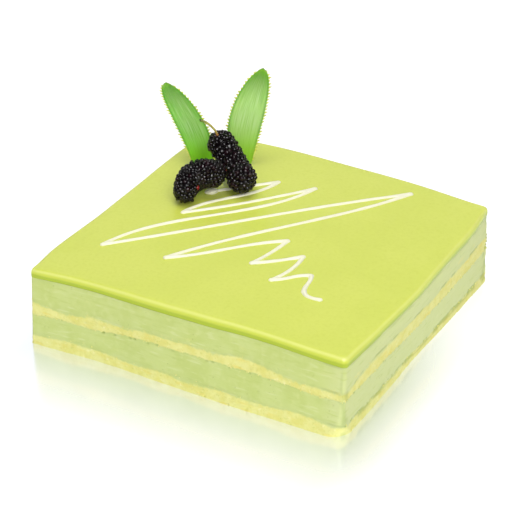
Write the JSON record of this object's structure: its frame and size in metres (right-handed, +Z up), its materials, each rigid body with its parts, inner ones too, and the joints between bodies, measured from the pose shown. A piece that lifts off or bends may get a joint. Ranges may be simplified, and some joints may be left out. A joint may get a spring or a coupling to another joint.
{
  "type": "entremet cake",
  "caption": "Square entremet cake of green mousse and yellow sponge under a green glaze, with a white chocolate zigzag, long black berries and toothed strap leaves on top.",
  "frame": {"origin": "on the table, under the middle of the whole part's bounding box", "axes": "+X along the cake's front side to its right corner, +Y from the front side to the back, +Z up"},
  "size_m": [0.1559, 0.1541, 0.0837],
  "materials": {
    "sponge": "open matt crumb",
    "mousse": "soft satin cream with cut smears",
    "glaze": "soft gloss, slightly translucent",
    "white_chocolate": "satin",
    "berry": "glossy skin",
    "stalk": "matt",
    "leaf": "satin, veined"
  },
  "bodies": {
    "root": {"bottom_sponge": "sponge", "lower_mousse": "mousse", "middle_sponge": "sponge", "upper_mousse": "mousse", "glaze": "glaze", "berry_lying": "berry", "berry_leaning": "berry", "leaf_left": "leaf", "leaf_right": "leaf"}
  },
  "joints": []
}
